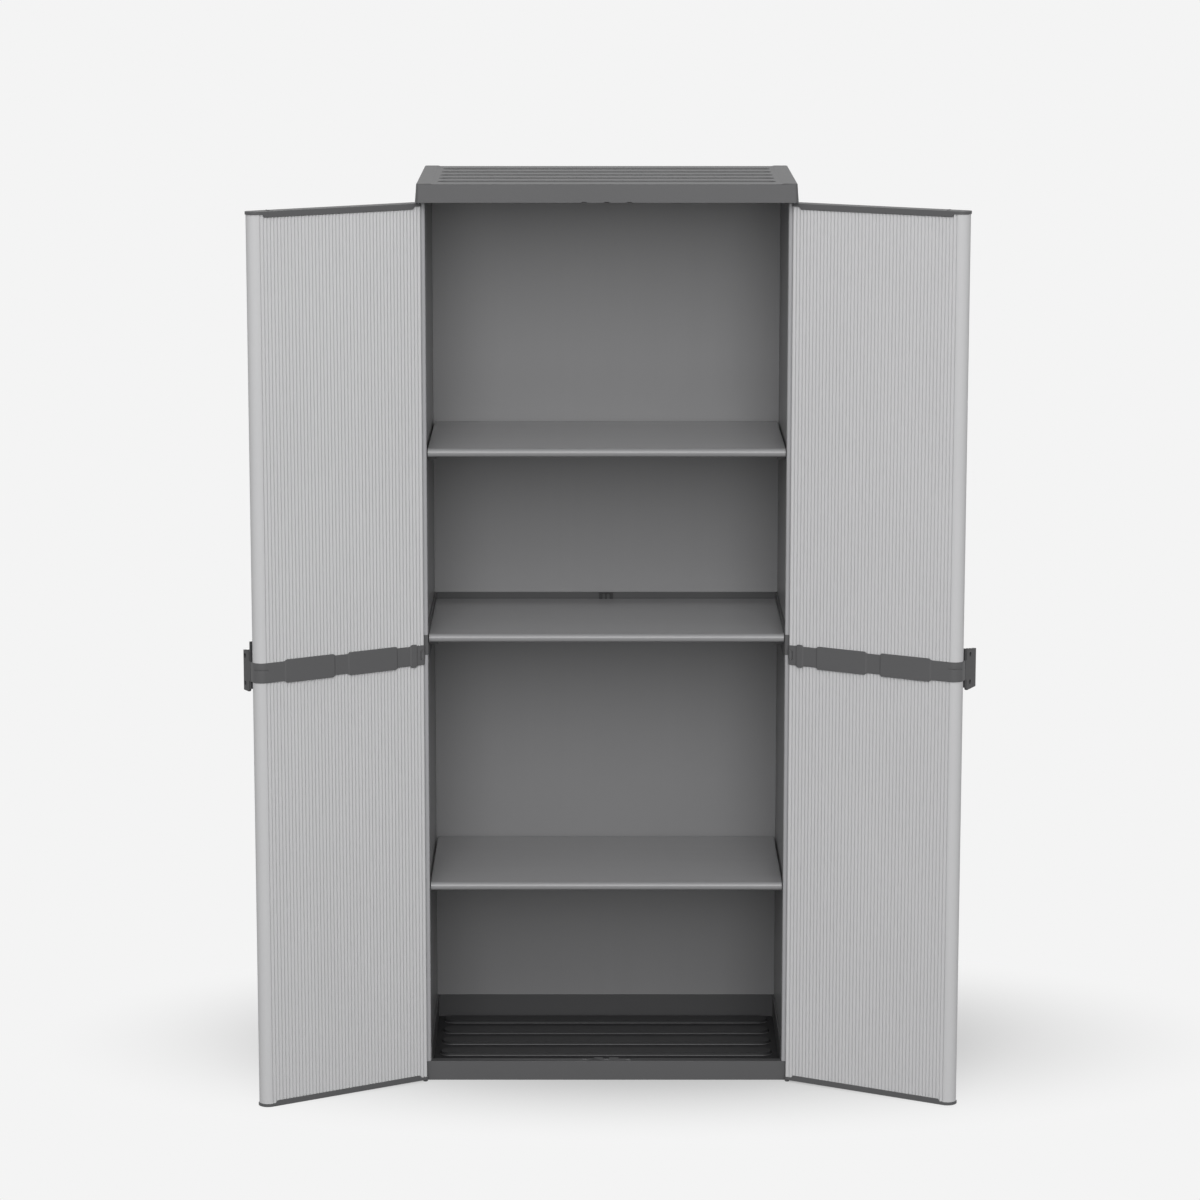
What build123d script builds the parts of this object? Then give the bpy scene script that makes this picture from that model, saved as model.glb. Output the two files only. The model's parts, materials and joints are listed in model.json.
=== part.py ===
from build123d import *
import math
import os

# Two-door resin storage cabinet. Twin-wall extruded panels plug into a moulded base tray,
# a middle frame and a top cover; each door is two fluted panels held by moulded end caps
# and a middle rail. Millimetres. The origin is on the floor below the centre of the top
# cover, +Z is up and the doors face -Y. The doors stand open, as the part is stored.

# Overall size
WIDTH = 680.0
DEPTH = 390.0
HEIGHT = 1660.0

# Door pose: degrees that each door stands open at rest
LEFT_DOOR_OPEN = 150.0
RIGHT_DOOR_OPEN = 152.0

# Fits: gap on each side of a panel in its channel, of a plug in its cell, of a running pivot
CHANNEL_FIT = 0.1
PLUG_FIT = 0.25
RUNNING_FIT = 0.05
PEG_FIT = 0.05

# Top cover
COVER_LIP = 34.0
COVER_DRAFT = 2.5
COVER_CORNER = 7.0
COVER_EDGE = 2.0
COVER_WALL = 3.0
COVER_SKIN = 5.0
COVER_SIDE_OVERHANG = 8.5
COVER_BACK_OVERHANG = 6.0
BAND_WIDTH = 25.0
BAND_RISE = 1.2
BAND_SLOPE = 4.0
COVER_WINDOW = 8.0
GROOVE_LENGTH = 604.0
GROOVE_WIDTH = 30.0
GROOVE_DEPTH = 2.5
GROOVE_PITCH = 66.0
GROOVE_MARGIN = 25.0

# Catch marks under the lip of the cover and on the rim of the base
CATCH_OFFSET = 40.0
CATCH_WIDTH = 9.0
CATCH_DEPTH = 1.6

# Side and back panels
SIDE_PANEL_T = 6.0
BACK_PANEL_T = 6.0
PANEL_SKIN = 1.2
PANEL_CELL = 24.0
BEAD_WIDTH = 8.0
BEAD_DEPTH = 15.0
BEAD_ROUND = 4.0
BEAD_STEP_ROUND = 1.5

# Base tray
RIM_HEIGHT = 36.0
FLOOR_HEIGHT = 17.0
FLOOR_SKIN = 3.0
BASE_WALL = 3.0
KERB_DEPTH = 17.0
UPSTAND_T = 3.0
UPSTAND_HEIGHT = 24.0
BASE_RIB_T = 3.0
BASE_RIB_PITCH = 110.0
PAD_LENGTH = 624.0
PAD_WIDTH = 42.0
PAD_PITCH = 68.0
PAD_HEIGHT = 4.5
PAD_EDGE = 3.2
PAD_MARGIN = 3.0
TAB_OFFSET = 14.0
TAB_WIDTH = 17.0
TAB_DEPTH = 7.5
TAB_HEIGHT = 7.0

# Middle frame: three rails that join the lower and upper panels
MID_SHELF_TOP = 840.0
MID_RAIL_HEIGHT = 37.0
MID_LAP = 12.5
MID_FLANGE_T = 3.0
MID_OUTER_LIP = 1.4
LEDGE_WIDTH = 16.0
LEDGE_HEIGHT = 10.0
LEDGE_SETBACK = 40.0
CLIP_WIDTH = 26.0
CLIP_DEPTH = 4.0
CLIP_HEIGHT = 12.0
CLIP_ARCH = 5.0
CLIP_PITCH = 8.2

# Shelves
UPPER_SHELF_TOP = 1180.0
LOWER_SHELF_TOP = 375.0
SHELF_T = 15.5
SHELF_SETBACK = 5.0
SHELF_SIDE_GAP = 1.3
SHELF_BACK_GAP = 4.0
SHELF_SKIN = 1.5
SHELF_CELL = 21.0
PEG_RADIUS = 3.0
PEG_TAB_WIDTH = 14.0
PEG_TAB_HEIGHT = 9.0
PEG_REACH = 18.0

# Hinges
PIVOT_U = 4.0
PIVOT_V = 5.0
PIN_RADIUS = 2.0
EAR_RADIUS = 5.0
EAR_HEIGHT = 15.0
EAR_GAP = 0.5
TONGUE_T = 2.5
TONGUE_RADIUS = 4.2
WASHER_T = 1.0
WASHER_RADIUS = 4.0
COVER_PIN_GRIP = 14.0
PIN_TIP_GAP = 0.5
MID_PIN_GRIP = 8.0

# Doors
DOOR_T = 28.0
DOOR_REVEAL = 1.5
DOOR_FLUSH = 0.5
DOOR_SIDE_INSET = 2.0
DOOR_GAP = 4.0
DOOR_TOP_GAP = 2.5
DOOR_INSET = 1.5
SKIRT_FIT = 0.2
HINGE_INNER_R = 4.0
HINGE_OUTER_R = 6.0
FREE_INNER_R = 18.0
FREE_OUTER_R = 8.0
FLUTE_PITCH = 6.68
FLUTE_WIDTH = 5.4
FLUTE_DEPTH = 0.9
FLUTE_HINGE_MARGIN = 4.0
FLUTE_FREE_MARGIN = 18.0
DOOR_SKIN = 1.5
DOOR_CELL = 27.0
CELL_FREE_MARGIN = 29.0
BULLNOSE_WALL = 3.5
CAP_EDGE = 5.5
CAP_APRON = 10.5
APRON_HINGE_MARGIN = 14.0
APRON_FREE_MARGIN = 24.0
APRON_CHAMFER = 4.0
PLUG_LENGTH = 16.0
NUB_OFFSET = 40.0
NUB_RADIUS = 2.5
NUB_RISE = 1.5
NUB_LENGTH = 10.0

# Door middle rail, its centre measured from the underside of the middle frame
RAIL_RISE = 2.0
RAIL_HEIGHT = 36.0
RAIL_WEB = 12.0
RAIL_HINGE_BLOCK = 15.0
RAIL_PAD_RISE = 3.0
RAIL_PAD_PROUD = 1.2
RAIL_PAD_RAMP = 2.2
RAIL_PAD_CHAMFER = 3.5
RAIL_BUMP_START = 16.0
RAIL_BUMP_LENGTH = 15.0
RAIL_NECK = 25.5
RAIL_WRAP = 29.0
RAIL_FREE_OUTER_R = 1.5
WRAP_GROOVE_HEIGHT = 3.6
WRAP_GROOVE_DEPTH = 1.2
WRAP_GROOVE_RISE = 4.0
WRAP_GROOVE_LENGTH = 22.0

# Handle lug on each door's middle rail, with two padlock holes that line up when shut
LUG_T = 4.0
LEFT_LUG_REACH = 28.0
RIGHT_LUG_REACH = 48.0
LUG_HEIGHT = 76.0
LUG_NECK = 5.0
LUG_ROUND = 5.0
LUG_CHAMFER = 6.0
LUG_PLATE_WIDTH = 34.0
LUG_PLATE_T = 3.0
LUG_PLATE_DROP = 32.0
LEFT_LUG_PLATE_RISE = 54.0
RIGHT_LUG_PLATE_RISE = 39.0
LUG_TOP_FALL_DEG = 9.0
LUG_HOLE_RADIUS = 4.0
LUG_HOLE_SPACING = 50.0
LUG_HOLE_REACH = 22.0
SCREW_RADIUS = 1.6
SCREW_HEAD_RADIUS = 3.5
SCREW_HEAD_T = 2.0
SCREW_GRIP = 12.0
SCREW_EDGE = 6.0

# Levels and faces worked out from the sizes above
COVER_BOTTOM = HEIGHT - COVER_LIP
COVER_DECK = HEIGHT - BAND_RISE
COVER_CEILING = COVER_DECK - COVER_SKIN
FRONT_OVERHANG = DOOR_REVEAL + DOOR_T + DOOR_FLUSH
BODY_X = WIDTH / 2 - COVER_SIDE_OVERHANG
BODY_FRONT = -DEPTH / 2 + FRONT_OVERHANG
BODY_BACK = DEPTH / 2 - COVER_BACK_OVERHANG
SIDE_INNER = BODY_X - SIDE_PANEL_T
BACK_INNER = BODY_BACK - BACK_PANEL_T
BEAD_INNER = BODY_X - BEAD_WIDTH
BEAD_BACK = BODY_FRONT + BEAD_DEPTH
UPSTAND_X = SIDE_INNER - CHANNEL_FIT
UPSTAND_Y = BACK_INNER - CHANNEL_FIT
MID_TOP = MID_SHELF_TOP
MID_BOTTOM = MID_TOP - MID_RAIL_HEIGHT
SHELF_X = BEAD_INNER - SHELF_SIDE_GAP
SHELF_FRONT = BODY_FRONT + SHELF_SETBACK
SHELF_BACK = BACK_INNER - SHELF_BACK_GAP
HINGE_X = WIDTH / 2 - DOOR_SIDE_INSET - PIVOT_U
HINGE_Y = BODY_FRONT - DOOR_REVEAL - PIVOT_V
DOOR_W = WIDTH / 2 - DOOR_SIDE_INSET - DOOR_GAP / 2
DOOR_TOP = COVER_BOTTOM - DOOR_TOP_GAP
DOOR_BOTTOM = TONGUE_T + WASHER_T
DOOR_FACE = DOOR_T - DOOR_INSET
BORE_RADIUS = PIN_RADIUS + RUNNING_FIT
NOTCH_HEIGHT = EAR_HEIGHT + 2 * EAR_GAP
NOTCH_WIDTH = PIVOT_U + EAR_RADIUS + EAR_GAP
RAIL_CENTRE = MID_BOTTOM + RAIL_RISE
RAIL_TOP = RAIL_CENTRE + RAIL_HEIGHT / 2
RAIL_BOTTOM = RAIL_CENTRE - RAIL_HEIGHT / 2


def block(x0, x1, y0, y1, z0, z1):
    """A box between two corners."""
    centre = Pos((x0 + x1) / 2, (y0 + y1) / 2, (z0 + z1) / 2)
    return centre * Box(abs(x1 - x0), abs(y1 - y0), abs(z1 - z0))


def prism(sketch, z0, z1):
    """A plan outline drawn upwards between two levels."""
    return extrude(Pos(0, 0, z0) * sketch, amount=z1 - z0, dir=(0, 0, 1))


def plate(outline, y0, y1):
    """An outline in X and Z drawn along Y between two faces."""
    return extrude(Pos(0, y0, 0) * (Plane.XZ * outline), amount=y1 - y0, dir=(0, 1, 0))


def upright(radius, x, y, z0, z1):
    """A vertical round bar."""
    return Pos(x, y, (z0 + z1) / 2) * Cylinder(radius, z1 - z0)


def across(radius, x0, x1, y, z):
    """A round bar lying along X."""
    return Pos((x0 + x1) / 2, y, z) * Rot(0, 90, 0) * Cylinder(radius, abs(x1 - x0))


def centred(count, pitch, middle):
    """Evenly spaced places about a middle."""
    return [middle + (i - (count - 1) / 2) * pitch for i in range(count)]


def cells(start, end, pitch, web):
    """Spans of the hollow cells between two walls, a web apart."""
    count = max(1, round((end - start) / pitch))
    step = (end - start + web) / count
    return [(start + i * step, start + (i + 1) * step - web) for i in range(count)]


def both_sides(shape):
    """A shape and its mirror image in the cabinet's middle plane."""
    return shape + mirror(shape, about=Plane.YZ)


def save(node, shape):
    """Writes one piece of the cabinet."""
    shape.label = node
    export_step(shape, os.path.join("parts", node + ".step"))


# Ribs and grooves that run across the base floor and the cover


def oblongs(length, width, pitch, y0, y1):
    """Round-ended strips across the cabinet, as many as fit between two lines."""
    count = max(1, int((y1 - y0 - width) / pitch) + 1)
    places = centred(count, pitch, (y0 + y1) / 2)
    return [Pos(0, y) * SlotOverall(length, width) for y in places]


# Base tray


def hinge_ear(radius):
    """Plan of the lobe beside the body that carries a right-hand hinge pin."""
    lobe = Pos(HINGE_X, HINGE_Y) * Circle(radius)
    outer = HINGE_X + radius
    middle = Pos((BODY_X + outer) / 2, (HINGE_Y + BEAD_BACK) / 2)
    arm = middle * Rectangle(outer - BODY_X, BEAD_BACK - HINGE_Y)
    return lobe + arm - Pos(HINGE_X, HINGE_Y) * Circle(PIN_RADIUS)


def base_tray():
    """Tray with a front kerb, raised oblong pads and an upstand inside the panels."""
    tray = block(-BODY_X, BODY_X, BODY_FRONT, BODY_BACK, 0, RIM_HEIGHT)
    floor_x = UPSTAND_X - UPSTAND_T
    floor_front = BODY_FRONT + KERB_DEPTH
    floor_back = UPSTAND_Y - UPSTAND_T
    tray -= block(-floor_x, floor_x, floor_front, floor_back, FLOOR_HEIGHT, RIM_HEIGHT)
    tray -= block(
        -BODY_X + BASE_WALL,
        BODY_X - BASE_WALL,
        BODY_FRONT + BASE_WALL,
        BODY_BACK - BASE_WALL,
        0,
        FLOOR_HEIGHT - FLOOR_SKIN,
    )
    upstand_top = RIM_HEIGHT + UPSTAND_HEIGHT
    tray += block(-UPSTAND_X, UPSTAND_X, floor_back, UPSTAND_Y, RIM_HEIGHT, upstand_top)
    for side in (-1, 1):
        tray += block(
            side * floor_x,
            side * UPSTAND_X,
            BEAD_BACK + CHANNEL_FIT,
            UPSTAND_Y,
            RIM_HEIGHT,
            upstand_top,
        )
    half = BASE_RIB_T / 2
    rib_top = FLOOR_HEIGHT - FLOOR_SKIN
    rib_count = int(BODY_X / BASE_RIB_PITCH)
    for x in centred(2 * rib_count - 1, BASE_RIB_PITCH, 0):
        tray += block(x - half, x + half, BODY_FRONT + BASE_WALL, BODY_BACK - BASE_WALL, 0, rib_top)
    tray += block(-BODY_X + BASE_WALL, BODY_X - BASE_WALL, -half, half, 0, rib_top)
    pad_front = floor_front + PAD_MARGIN
    pad_back = floor_back - PAD_MARGIN
    for strip in oblongs(PAD_LENGTH, PAD_WIDTH, PAD_PITCH, pad_front, pad_back):
        pad = prism(strip, FLOOR_HEIGHT, FLOOR_HEIGHT + PAD_HEIGHT)
        tray += chamfer(pad.faces().sort_by(Axis.Z)[-1].edges(), PAD_EDGE)
    for side in (-1, 1):
        tab = side * TAB_OFFSET
        tray += block(
            tab - TAB_WIDTH / 2,
            tab + TAB_WIDTH / 2,
            floor_front,
            floor_front + TAB_DEPTH,
            RIM_HEIGHT - TAB_HEIGHT,
            RIM_HEIGHT,
        )
    for x in (-CATCH_OFFSET, 0, CATCH_OFFSET):
        tray -= block(
            x - CATCH_WIDTH / 2,
            x + CATCH_WIDTH / 2,
            BODY_FRONT + KERB_DEPTH / 4,
            BODY_FRONT + 3 * KERB_DEPTH / 4,
            RIM_HEIGHT - CATCH_DEPTH,
            RIM_HEIGHT,
        )
    return tray + both_sides(prism(hinge_ear(TONGUE_RADIUS), 0, TONGUE_T))


# Panels of the body


def side_panel(z0, z1, pegs):
    """Right-hand twin-wall panel with a bead on its front edge and holes for shelf pegs."""
    plan = Pos((SIDE_INNER + BODY_X) / 2, (BODY_FRONT + BODY_BACK) / 2) * Rectangle(
        SIDE_PANEL_T, BODY_BACK - BODY_FRONT
    )
    plan += Pos((BEAD_INNER + BODY_X) / 2, (BODY_FRONT + BEAD_BACK) / 2) * Rectangle(BEAD_WIDTH, BEAD_DEPTH)
    corners = plan.vertices().sort_by_distance((BEAD_INNER, BODY_FRONT, 0))
    plan = fillet([corners[0]], BEAD_ROUND)
    corners = plan.vertices().sort_by_distance((BEAD_INNER, BEAD_BACK, 0))
    plan = fillet([corners[0]], BEAD_STEP_ROUND)
    width = SIDE_PANEL_T - 2 * PANEL_SKIN
    middle = (SIDE_INNER + BODY_X) / 2
    for y0, y1 in side_cells():
        plan -= Pos(middle, (y0 + y1) / 2) * Rectangle(width, y1 - y0)
    panel = prism(plan, z0, z1)
    for y, z in pegs:
        panel -= across(PEG_RADIUS + PEG_FIT, SIDE_INNER, SIDE_INNER + PANEL_SKIN, y, z)
    return panel


def side_cells():
    """Spans along Y of the cells in a side panel."""
    return cells(BEAD_BACK, BODY_BACK - PANEL_SKIN, PANEL_CELL, PANEL_SKIN)


def back_panel(z0, z1):
    """Twin-wall panel between the two side panels."""
    plan = Pos(0, (BACK_INNER + BODY_BACK) / 2) * Rectangle(2 * SIDE_INNER, BACK_PANEL_T)
    width = BACK_PANEL_T - 2 * PANEL_SKIN
    for x0, x1 in cells(-SIDE_INNER + PANEL_SKIN, SIDE_INNER - PANEL_SKIN, PANEL_CELL, PANEL_SKIN):
        plan -= Pos((x0 + x1) / 2, (BACK_INNER + BODY_BACK) / 2) * Rectangle(x1 - x0, width)
    return prism(plan, z0, z1)


# Middle frame


def side_mid_rail():
    """Right-hand rail: joins two side panels, carries the middle shelf and a hinge ear."""
    rail = block(SIDE_INNER, BODY_X, BODY_FRONT, BODY_BACK, MID_BOTTOM, MID_TOP)
    rail += block(BEAD_INNER, BODY_X, BODY_FRONT, BEAD_BACK, MID_BOTTOM, MID_TOP)
    flange = SIDE_INNER - CHANNEL_FIT
    rail += block(SIDE_INNER, flange, BEAD_BACK, BACK_INNER, MID_BOTTOM, MID_TOP)
    low = MID_BOTTOM - MID_LAP
    high = MID_TOP + MID_LAP
    lap_front = BEAD_BACK + CHANNEL_FIT
    rail += block(flange, flange - MID_FLANGE_T, lap_front, BACK_INNER, low, high)
    lip = BODY_X + CHANNEL_FIT
    rail += block(BODY_X, lip, BEAD_BACK, BODY_BACK, MID_BOTTOM, MID_TOP)
    rail += block(lip, lip + MID_OUTER_LIP, BEAD_BACK, BODY_BACK, low, high)
    ledge = flange - MID_FLANGE_T
    seat = MID_SHELF_TOP - SHELF_T
    ledge_front = BODY_FRONT + LEDGE_SETBACK
    ledge_back = BACK_INNER - MID_FLANGE_T - 2 * CHANNEL_FIT
    rail += block(ledge, ledge - LEDGE_WIDTH, ledge_front, ledge_back, seat - LEDGE_HEIGHT, seat)
    ear_z = RAIL_CENTRE - EAR_HEIGHT / 2
    return rail + prism(hinge_ear(EAR_RADIUS), ear_z, ear_z + EAR_HEIGHT)


def back_mid_rail():
    """Rail that joins the two back panels between the side rails."""
    rail = block(-SIDE_INNER, SIDE_INNER, BACK_INNER, BODY_BACK, MID_BOTTOM, MID_TOP)
    flange = BACK_INNER - CHANNEL_FIT
    half = SIDE_INNER - CHANNEL_FIT - MID_FLANGE_T - CHANNEL_FIT
    rail += block(-half, half, BACK_INNER, flange, MID_BOTTOM, MID_TOP)
    low = MID_BOTTOM - MID_LAP
    high = MID_TOP + MID_LAP
    rail += block(-half, half, flange, flange - MID_FLANGE_T, low, high)
    lip = BODY_BACK + CHANNEL_FIT
    rail += block(-SIDE_INNER, SIDE_INNER, BODY_BACK, lip, MID_BOTTOM, MID_TOP)
    return rail + block(-SIDE_INNER, SIDE_INNER, lip, lip + MID_OUTER_LIP, low, high)


def back_rail_clip():
    """Small clip with two arches that keeps the middle shelf under the back rail's flange."""
    face = BACK_INNER - CHANNEL_FIT - MID_FLANGE_T
    clip = block(-CLIP_WIDTH / 2, CLIP_WIDTH / 2, face - CLIP_DEPTH, face, MID_TOP, MID_TOP + CLIP_HEIGHT)
    for side in (-1, 1):
        x = side * CLIP_PITCH / 2
        crown = MID_TOP + CLIP_HEIGHT - 0.8 * CLIP_ARCH
        clip -= block(x - CLIP_ARCH / 2, x + CLIP_ARCH / 2, face - CLIP_DEPTH, face, MID_TOP, crown)
        clip -= Pos(x, face - CLIP_DEPTH / 2, crown) * Rot(90, 0, 0) * Cylinder(CLIP_ARCH / 2, CLIP_DEPTH)
    return clip


# Shelves and their pegs


def shelf(top):
    """Hollow shelf board with a half-round front edge, its cells running across."""
    radius = SHELF_T / 2
    nose = SHELF_FRONT + radius
    middle = (nose + SHELF_BACK) / 2
    section = Pos(middle, 0) * Rectangle(SHELF_BACK - nose, SHELF_T)
    section += Pos(nose, 0) * Circle(radius)
    height = SHELF_T - 2 * SHELF_SKIN
    for y0, y1 in cells(nose, SHELF_BACK - SHELF_SKIN, SHELF_CELL, SHELF_SKIN):
        section -= Pos((y0 + y1) / 2, 0) * Rectangle(y1 - y0, height)
    board = extrude(Plane.YZ * section, amount=SHELF_X, both=True)
    return Pos(0, 0, top - radius) * board


def peg_places():
    """Places along Y of the front and back pegs, at the middle of a side panel's cell."""
    spans = side_cells()
    chosen = (spans[1], spans[-2])
    return [(y0 + y1) / 2 for y0, y1 in chosen]


def peg_height(top):
    """Level of the pegs' round ends under a shelf."""
    return top - SHELF_T - PEG_TAB_HEIGHT / 2


def shelf_pegs(top):
    """Four pegs in the side panels that carry one shelf."""
    seat = top - SHELF_T
    tip = SIDE_INNER - PEG_REACH
    pegs = []
    half = PEG_TAB_WIDTH / 2
    for y in peg_places():
        tab = block(tip, SIDE_INNER, y - half, y + half, seat - PEG_TAB_HEIGHT, seat)
        end = across(PEG_RADIUS, SIDE_INNER, SIDE_INNER + 2 * PANEL_SKIN, y, peg_height(top))
        pegs += [tab + end, mirror(tab + end, about=Plane.YZ)]
    return Compound(pegs)


# Top cover


def top_cover():
    """Drafted cover with raised end bands, grooves, a front channel and hinge blocks."""
    taper = math.degrees(math.atan2(COVER_DRAFT, COVER_LIP))
    outline = Pos(0, 0, COVER_BOTTOM) * RectangleRounded(WIDTH, DEPTH, COVER_CORNER)
    cover = extrude(outline, amount=COVER_LIP, taper=taper)
    cover = fillet(cover.faces().sort_by(Axis.Z)[-1].edges(), COVER_EDGE)
    deck = WIDTH / 2 - COVER_DRAFT - BAND_WIDTH
    trough = Polygon(
        (-deck, HEIGHT),
        (-deck + BAND_SLOPE, COVER_DECK),
        (deck - BAND_SLOPE, COVER_DECK),
        (deck, HEIGHT),
        align=None,
    )
    cover -= plate(trough, -DEPTH / 2, DEPTH / 2)
    groove_front = -DEPTH / 2 + GROOVE_MARGIN
    groove_back = DEPTH / 2 - GROOVE_MARGIN
    for strip in oblongs(GROOVE_LENGTH, GROOVE_WIDTH, GROOVE_PITCH, groove_front, groove_back):
        cover -= prism(strip, COVER_DECK - GROOVE_DEPTH, HEIGHT)
    inner_x = BODY_X + CHANNEL_FIT
    inner_front = BODY_FRONT - CHANNEL_FIT
    cover -= block(-inner_x, inner_x, inner_front, BODY_BACK + CHANNEL_FIT, COVER_BOTTOM, COVER_CEILING)
    channel_x = HINGE_X - 2 * EAR_RADIUS
    channel_front = -DEPTH / 2 + COVER_DRAFT + COVER_WALL
    channel_back = inner_front - COVER_WALL
    channel_floor = COVER_BOTTOM + COVER_WALL
    cover -= block(-channel_x, channel_x, channel_front, channel_back, channel_floor, COVER_CEILING)
    window = COVER_CEILING - COVER_WINDOW
    cover -= block(-channel_x, channel_x, channel_back, inner_front, window, COVER_CEILING)
    for x in (-CATCH_OFFSET, 0, CATCH_OFFSET):
        cover -= block(
            x - CATCH_WIDTH / 2,
            x + CATCH_WIDTH / 2,
            -DEPTH / 2,
            channel_front,
            COVER_BOTTOM,
            COVER_BOTTOM + CATCH_DEPTH,
        )
    socket = upright(PIN_RADIUS, HINGE_X, HINGE_Y, COVER_BOTTOM, COVER_BOTTOM + COVER_PIN_GRIP)
    return cover - both_sides(socket)


# Hinge pins and washers, a pair of each


def hinge_pins(z0, z1):
    """Steel pins on the two hinge lines, as separate solids."""
    pin = upright(PIN_RADIUS, HINGE_X, HINGE_Y, z0, z1)
    return Compound([pin, mirror(pin, about=Plane.YZ)])


def hinge_washers():
    """Thrust washers between the base's tongues and the doors."""
    washer = upright(WASHER_RADIUS, HINGE_X, HINGE_Y, TONGUE_T, DOOR_BOTTOM)
    washer -= upright(BORE_RADIUS, HINGE_X, HINGE_Y, TONGUE_T, DOOR_BOTTOM)
    return Compound([washer, mirror(washer, about=Plane.YZ)])


# Doors, drawn shut in their own plan: u from the hinge edge, v from the inner face


def door_outline(inset, free_outer=FREE_OUTER_R):
    """Plan of a door, set in all round by an inset."""
    u0, u1 = inset, DOOR_W - inset
    v0, v1 = inset, DOOR_T - inset
    plan = Pos((u0 + u1) / 2, (v0 + v1) / 2) * Rectangle(u1 - u0, v1 - v0)
    corners = (
        (u0, v0, HINGE_INNER_R),
        (u0, v1, HINGE_OUTER_R),
        (u1, v0, FREE_INNER_R),
        (u1, v1, free_outer),
    )
    for u, v, radius in corners:
        nearest = plan.vertices().sort_by_distance((u, v, 0))[0]
        plan = fillet([nearest], radius - inset)
    return plan


def door_cells():
    """Spans along u of a door panel's hollow cells."""
    start = DOOR_INSET + FLUTE_DEPTH + DOOR_SKIN
    return cells(start, DOOR_W - CELL_FREE_MARGIN, DOOR_CELL, DOOR_SKIN)


def cell_depth():
    """The v faces of a door panel's cells."""
    wall = DOOR_INSET + FLUTE_DEPTH + DOOR_SKIN
    return wall, DOOR_T - wall


def panel_plan():
    """Plan of a fluted door panel with its cells and a round hollow in the free edge."""
    plan = door_outline(DOOR_INSET)
    radius = (FLUTE_WIDTH**2 / 4 + FLUTE_DEPTH**2) / (2 * FLUTE_DEPTH)
    count = int((DOOR_W - FLUTE_HINGE_MARGIN - FLUTE_FREE_MARGIN) / FLUTE_PITCH)
    rise = radius - FLUTE_DEPTH
    flutes = []
    for i in range(count):
        u = FLUTE_HINGE_MARGIN + (i + 0.5) * FLUTE_PITCH
        flutes.append(Pos(u, DOOR_INSET - rise) * Circle(radius))
        flutes.append(Pos(u, DOOR_FACE + rise) * Circle(radius))
    plan -= flutes
    v0, v1 = cell_depth()
    plan -= [Pos((u0 + u1) / 2, (v0 + v1) / 2) * Rectangle(u1 - u0, v1 - v0) for u0, u1 in door_cells()]
    hollow = DOOR_T / 2 - DOOR_INSET - BULLNOSE_WALL
    return plan - Pos(DOOR_W - DOOR_INSET - BULLNOSE_WALL - hollow, DOOR_T / 2) * Circle(hollow)


def door_panel(z0, z1):
    """One fluted panel, cut away at the corner where the middle rail's hinge block sits."""
    panel = prism(panel_plan(), z0, z1)
    corner = RAIL_HINGE_BLOCK + SKIRT_FIT
    return panel - block(0, corner, 0, DOOR_T, RAIL_BOTTOM - SKIRT_FIT, RAIL_TOP + SKIRT_FIT)


def door_cap(edge, inward):
    """End cap: a plate on the panel's end, aprons on both faces, plugs and a catch nub.

    edge is the door's outer end level and inward is +1 or -1, towards the panel.
    """
    seat = edge + inward * CAP_EDGE
    cap = prism(door_outline(0), min(edge, seat), max(edge, seat))
    skirt = DOOR_INSET - SKIRT_FIT
    apron_end = edge + inward * CAP_APRON
    u0 = APRON_HINGE_MARGIN
    u1 = DOOR_W - APRON_FREE_MARGIN
    apron = Polygon(
        (u0, edge),
        (u1, edge),
        (u1, seat),
        (u1 - APRON_CHAMFER, apron_end),
        (u0 + APRON_CHAMFER, apron_end),
        (u0, seat),
        align=None,
    )
    cap += plate(apron, 0, skirt)
    cap += plate(apron, DOOR_T - skirt, DOOR_T)
    v0, v1 = cell_depth()
    spans = door_cells()
    for i in (1, len(spans) // 2, len(spans) - 2):
        start, end = spans[i]
        cap += block(
            start + PLUG_FIT,
            end - PLUG_FIT,
            v0 + PLUG_FIT,
            v1 - PLUG_FIT,
            seat,
            seat + inward * PLUG_LENGTH,
        )
    nub = Pos(DOOR_W - NUB_OFFSET, DOOR_T / 2, edge + inward * (NUB_RADIUS - NUB_RISE))
    cap += nub * Rot(90, 0, 0) * Cylinder(NUB_RADIUS, NUB_LENGTH)
    return cap - upright(BORE_RADIUS, PIVOT_U, PIVOT_V, min(edge, seat), max(edge, seat))


def raised_pad(u0, u1):
    """A raised stretch of the middle rail on both faces of the door."""
    low = RAIL_BOTTOM - RAIL_PAD_RISE
    high = RAIL_TOP + RAIL_PAD_RISE
    shape = Polygon(
        (u0, RAIL_BOTTOM),
        (u0 + RAIL_PAD_CHAMFER, low),
        (u1 - RAIL_PAD_CHAMFER, low),
        (u1, RAIL_BOTTOM),
        (u1, RAIL_TOP),
        (u1 - RAIL_PAD_CHAMFER, high),
        (u0 + RAIL_PAD_CHAMFER, high),
        (u0, RAIL_TOP),
        align=None,
    )
    skirt = DOOR_INSET - SKIRT_FIT
    ramped = Polygon(
        (u0, 0),
        (u0 + RAIL_PAD_RAMP, -RAIL_PAD_PROUD),
        (u1 - RAIL_PAD_RAMP, -RAIL_PAD_PROUD),
        (u1, 0),
        (u1, skirt),
        (u0, skirt),
        align=None,
    )
    inner = plate(shape, -RAIL_PAD_PROUD, skirt) & prism(ramped, low, high)
    return inner + mirror(inner, about=Plane.XZ.offset(-DOOR_T / 2))


def lug_screw_places():
    """The u places of the two screws that hold a handle lug."""
    plate_start = DOOR_W - LUG_PLATE_WIDTH
    plate_end = DOOR_W - LUG_T
    return plate_start + SCREW_EDGE, plate_end - SCREW_EDGE


def screw_bar(radius, u, v0, v1):
    """A round bar along v at the middle rail's height."""
    return Pos(u, (v0 + v1) / 2, RAIL_CENTRE) * Rot(90, 0, 0) * Cylinder(radius, v1 - v0)


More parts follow.
